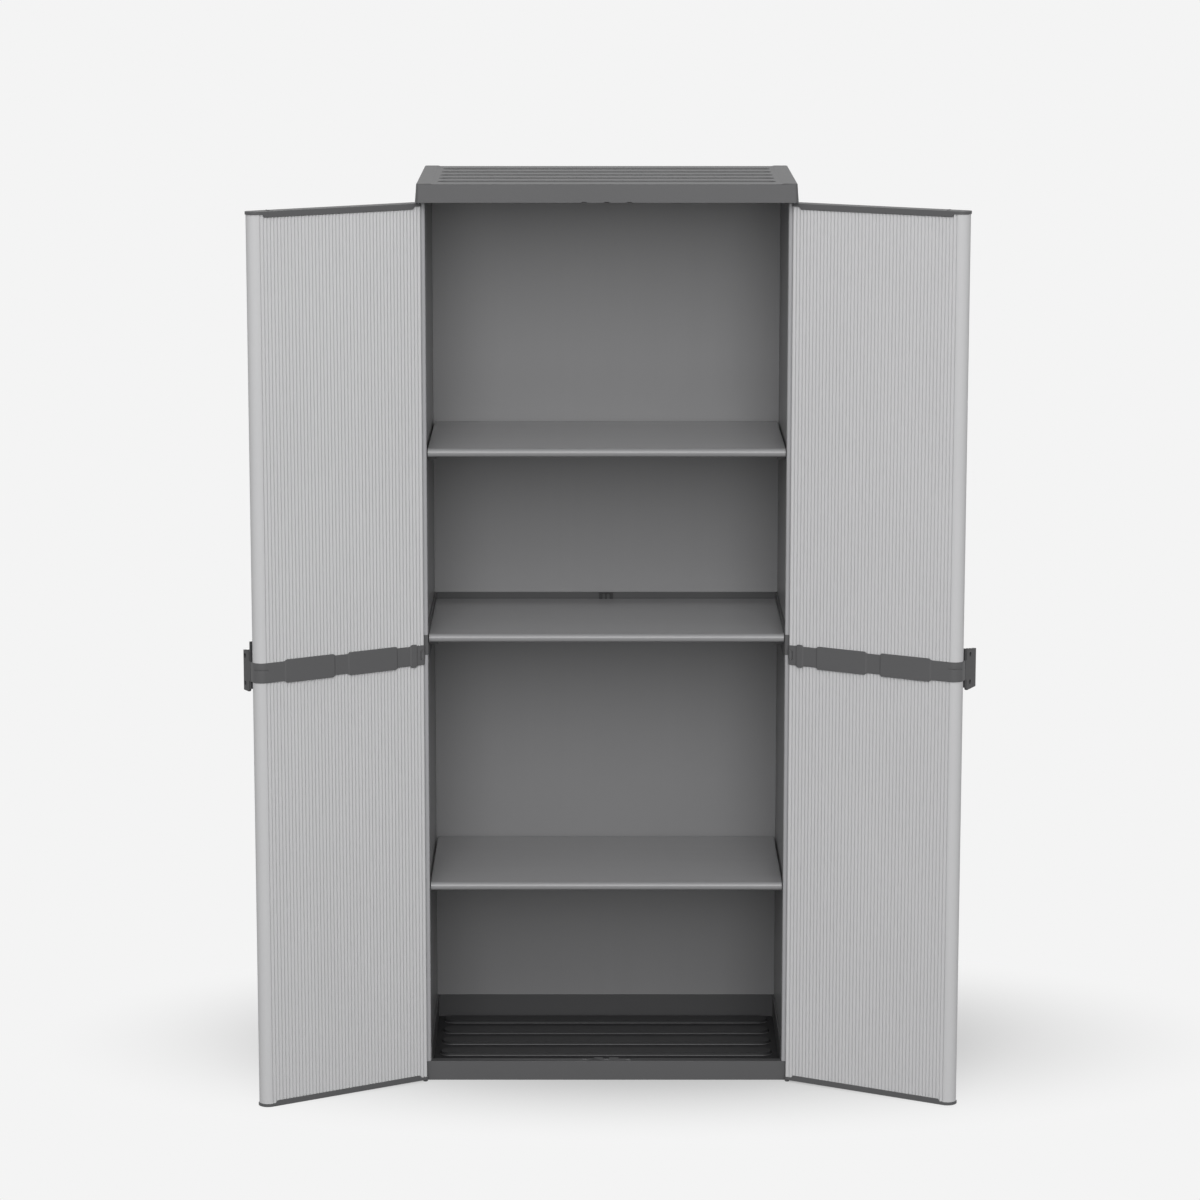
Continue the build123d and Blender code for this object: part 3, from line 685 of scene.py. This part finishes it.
@dataclass
class Shelf:
    """A hollow board with a half-round front edge."""

    node: str
    nose_steps: int = 16
    edge_mm: float = 0.8

    def build(self) -> None:
        """Models the board from its section, drawn across the cabinet."""
        low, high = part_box(self.node)
        shape = bmesh.new()
        section = ((low.y, low.z), (high.y, low.z), (high.y, high.z), (low.y, high.z))
        ring = [shape.verts.new((low.x, y, z)) for y, z in section]
        shape.faces.new(ring)
        # Just under half the thickness, so that the two rounds of the nose don't meet
        radius = (high.z - low.z) / 2 - WELD_MM * MM
        for vert in (ring[0], ring[3]):
            round_corner(shape, vert, radius, self.nose_steps)
        draw_out(shape, (high.x - low.x, 0, 0))
        bmesh.ops.recalc_face_normals(shape, faces=shape.faces)
        piece = finish_piece(f"{self.node}_board", shape, BOARD, self.node)
        soften(piece, self.edge_mm)


@dataclass
class Carcass:
    """The cabinet's fixed body: tray, panels, middle frame and cover."""

    edge_mm: float = 0.6
    clip_edge_mm: float = 0.3
    # Depth of a side wall's front that counts as its bead
    bead_mm: float = 5.0
    # Heights between the tray's underside, floor, pads and rim, and a depth behind its kerb
    floor_mm: float = 16.0
    pad_mm: float = 20.0
    rim_mm: float = 32.0
    kerb_mm: float = 32.0

    def build(self) -> None:
        """Builds and dresses the fixed pieces."""
        self.base()
        for node in ("top_cover", "left_mid_rail", "right_mid_rail"):
            moulding(node, DARK, self.edge_mm)
        self.back_rail()
        # The back clip gets the tray floor's darkest painted shade
        moulding("back_rail_clip", DEEP_SHADE, self.clip_edge_mm)
        for level in ("lower", "upper"):
            moulding(f"{level}_back_panel", PANEL, self.edge_mm)
            for side in Side:
                self.side_wall(f"{side.value}_{level}_side_panel")
            dress(f"{level}_shelf_pegs", DARK)
            dress(f"{level}_hinge_pins", STEEL)
        dress("middle_hinge_pins", STEEL)
        dress("hinge_washers", NYLON)

    def side_wall(self, node: str) -> None:
        """Builds a side panel, its front bead painted paler as a highlight.

        Args:
            node: the panel's CAD node.
        """
        panel = moulding(node, PANEL, self.edge_mm)
        bead = add_finish(panel, BEAD_HIGHLIGHT)
        bead_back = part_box(node)[0].y + self.bead_mm * MM
        # Faces of the bead get the painted highlight
        for face in panel.data.polygons:
            if face.center.y < bead_back and abs(face.normal.z) < FACING:
                face.material_index = bead

    def back_rail(self) -> None:
        """Builds the back rail, its inner side painted darker as shade."""
        rail = moulding("back_mid_rail", DARK, self.edge_mm)
        shaded_inside = add_finish(rail, RECESS_SHADE)
        # Faces that look forward into the cabinet get painted shade
        for face in rail.data.polygons:
            if face.normal.y < -FACING:
                face.material_index = shaded_inside

    def base(self) -> None:
        """Builds the base tray, with painted shade on its floor, pads and upstand."""
        tray = moulding("base_tray", DARK, self.edge_mm)
        # Floor, pads and upstand get painted shade: darkest on the floor, less dark on the pads
        floor, shaded_pad, shaded_upstand = [add_finish(tray, finish) for finish in (DEEP_SHADE, PAD_SHADE, RECESS_SHADE)]
        kerb_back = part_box("base_tray")[0].y + self.kerb_mm * MM
        for face in tray.data.polygons:
            up, height = face.normal.z, face.center.z
            if up > FACING_STRAIGHT and self.pad_mm * MM < height < self.rim_mm * MM:
                face.material_index = shaded_pad
            elif up > FACING and height < self.rim_mm * MM:
                face.material_index = floor
            elif height > self.floor_mm * MM and face.center.y > kerb_back and self.faces_in(face):
                face.material_index = shaded_upstand

    @staticmethod
    def faces_in(face: bpy.types.MeshPolygon) -> bool:
        """Whether a face of the tray looks towards the tray's middle."""
        return face.normal.x * face.center.x + face.normal.y * face.center.y < 0.0


@dataclass(frozen=True)
class Softbox:
    """A soft lamp that the camera doesn't see."""

    name: str
    place: Point
    target: Point
    size: tuple[float, float]
    watts: float

    def build(self) -> None:
        """Hangs the lamp and points it at its target."""
        lamp = bpy.data.lights.new(self.name, "AREA")
        lamp.shape = "RECTANGLE"
        lamp.size, lamp.size_y = self.size
        lamp.energy = self.watts
        holder = bpy.data.objects.new(self.name, lamp)
        holder.visible_camera = False
        holder.location = self.place
        aim = Vector(self.target) - Vector(self.place)
        holder.rotation_euler = aim.to_track_quat("-Z", "Y").to_euler()
        bpy.context.scene.collection.objects.link(holder)


# Main light, from above and in front
KEY = Softbox("key_softbox", (0.0, -7.2, 4.4), (0.0, -0.2, 0.9), size=(5.2, 5.2), watts=400.0)
# Lift for the back, hung below the cover's top so that it doesn't reach the front
REAR = Softbox("rear_softbox", (0.0, 5.2, 0.85), (0.0, 0.0, 0.85), size=(5.0, 1.4), watts=90.0)


def backdrop_rays(tree: bpy.types.NodeTree) -> bpy.types.NodeSocket:
    """Adds a switch for the rays that meet the pale backdrop.

    Args:
        tree: the node tree that gets it.

    Returns:
        1 for camera, glossy and transmission rays, 0 for others.
    """
    path = add_node(tree, "ShaderNodeLightPath").outputs
    seen = path["Is Camera Ray"]
    for ray in ("Is Glossy Ray", "Is Transmission Ray"):
        both = {0: seen, 1: path[ray]}
        seen = add_node(tree, "ShaderNodeMath", both, operation="ADD", use_clamp=True).outputs[0]
    return seen


@dataclass
class Studio:
    """A pale floor, soft light and a camera at the photograph's viewing angle."""

    backdrop: str = "#f4f4f4"
    floor_paint: str = "#bcbcbc"
    floor_bounce: str = "#6a6a6a"
    floor_metres: float = 60.0
    shadow_centre: tuple[float, float] = (0.08, 0.1)
    shadow_reach: tuple[float, float] = (1.0, 0.52)
    shadow_fade: tuple[float, float] = (0.1, 1.2)
    # The dome is brightest along its axis, in front of and above the doors
    dome_axis: Point = (0.0, -0.8, 0.6)
    dome_edge: float = -0.3
    dome_front: float = 1.05
    dome_back: float = 0.62
    focal_pixels: float = 3959.1
    distance: float = 7.0
    camera_x: float = -0.0221
    camera_height: float = 2.28
    pitch_deg: float = 10.375
    shift_x: float = 0.0047
    shift_y: float = -0.04

    def build(self) -> None:
        """Sets the view transform and makes floor, world, lamps and camera."""
        bpy.context.scene.view_settings.view_transform = "Standard"
        self.floor()
        self.world()
        for lamp in (KEY, REAR):
            lamp.build()
        self.camera()

    def floor(self) -> None:
        """Makes a pale floor whose far part fades into the backdrop."""
        shape = bmesh.new()
        bmesh.ops.create_grid(shape, x_segments=1, y_segments=1, size=self.floor_metres / 2)
        mesh = bpy.data.meshes.new("studio_floor")
        shape.to_mesh(mesh)
        shape.free()
        mesh.materials.append(self.floor_material())
        floor = bpy.data.objects.new("studio_floor", mesh)
        bpy.context.scene.collection.objects.link(floor)

    def floor_material(self) -> bpy.types.Material:
        """Paints the floor so that it takes a shadow near the cabinet and glows plainly further off.

        Returns:
            The floor's material.
        """
        made = empty_material("studio_floor_paint")
        tree = made.node_tree
        place = add_node(tree, "ShaderNodeTexCoord").outputs["Object"]
        x, y = self.shadow_centre
        wide, deep = self.shadow_reach
        scaled = add_node(
            tree,
            "ShaderNodeMapping",
            {"Vector": place, "Location": (-x / wide, -y / deep, 0.0), "Scale": (1 / wide, 1 / deep, 1.0)},
        ).outputs[0]
        away = add_node(tree, "ShaderNodeVectorMath", {0: scaled}, operation="LENGTH").outputs["Value"]
        near, far = self.shadow_fade
        faded = add_node(
            tree,
            "ShaderNodeMapRange",
            {"Value": away, "From Min": near, "From Max": far},
            interpolation_type="SMOOTHSTEP",
        ).outputs[0]
        paint = add_node(tree, "ShaderNodeBsdfDiffuse", {"Color": linear(self.floor_paint)}).outputs[0]
        glow = add_node(tree, "ShaderNodeEmission", {"Color": linear(self.backdrop)}).outputs[0]
        pale = add_node(tree, "ShaderNodeMixShader", {0: faded, 1: paint, 2: glow}).outputs[0]
        dull = add_node(tree, "ShaderNodeBsdfDiffuse", {"Color": linear(self.floor_bounce)}).outputs[0]
        mixed = add_node(tree, "ShaderNodeMixShader", {0: backdrop_rays(tree), 1: dull, 2: pale}).outputs[0]
        add_node(tree, "ShaderNodeOutputMaterial", {"Surface": mixed})
        return made

    def world(self) -> None:
        """Makes a pale backdrop for the camera and a soft grey dome for the light."""
        world = bpy.data.worlds.new("studio_world")
        world.use_nodes = True
        tree = world.node_tree
        tree.nodes.clear()
        way = add_node(tree, "ShaderNodeTexCoord").outputs["Generated"]
        ahead = add_node(
            tree,
            "ShaderNodeVectorMath",
            {0: way, 1: self.dome_axis},
            operation="DOT_PRODUCT",
        ).outputs["Value"]
        level = add_node(
            tree,
            "ShaderNodeMapRange",
            {"Value": ahead, "From Min": self.dome_edge, "To Min": self.dome_back, "To Max": self.dome_front},
        ).outputs[0]
        dome = add_node(tree, "ShaderNodeBackground", {"Color": linear("#ffffff"), "Strength": level})
        plain = add_node(tree, "ShaderNodeBackground", {"Color": linear(self.backdrop), "Strength": 1.0})
        both = {0: backdrop_rays(tree), 1: dome.outputs[0], 2: plain.outputs[0]}
        mixed = add_node(tree, "ShaderNodeMixShader", both)
        add_node(tree, "ShaderNodeOutputWorld", {"Surface": mixed.outputs[0]})
        bpy.context.scene.world = world

    def camera(self) -> None:
        """Stands the camera where the photograph was taken from."""
        lens = bpy.data.cameras.new("camera")
        lens.sensor_width = SENSOR_MM
        lens.lens = self.focal_pixels / IMAGE_PIXELS * SENSOR_MM
        lens.shift_x = self.shift_x
        lens.shift_y = self.shift_y
        lens.clip_end = 2 * self.floor_metres
        holder = bpy.data.objects.new("camera", lens)
        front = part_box("top_cover")[0].y
        holder.location = (self.camera_x, front - self.distance, self.camera_height)
        holder.rotation_euler = (math.radians(90.0 - self.pitch_deg), 0.0, 0.0)
        bpy.context.scene.collection.objects.link(holder)
        bpy.context.scene.camera = holder


def main() -> None:
    """Builds the cabinet's looks, then the studio round it."""
    logging.basicConfig(level=logging.INFO)
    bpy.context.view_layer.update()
    Carcass().build()
    for node in ("upper_shelf", "mid_shelf", "lower_shelf"):
        Shelf(node).build()
    for side in Side:
        Door(side).build()
    Studio().build()


if __name__ == "__main__":
    main()
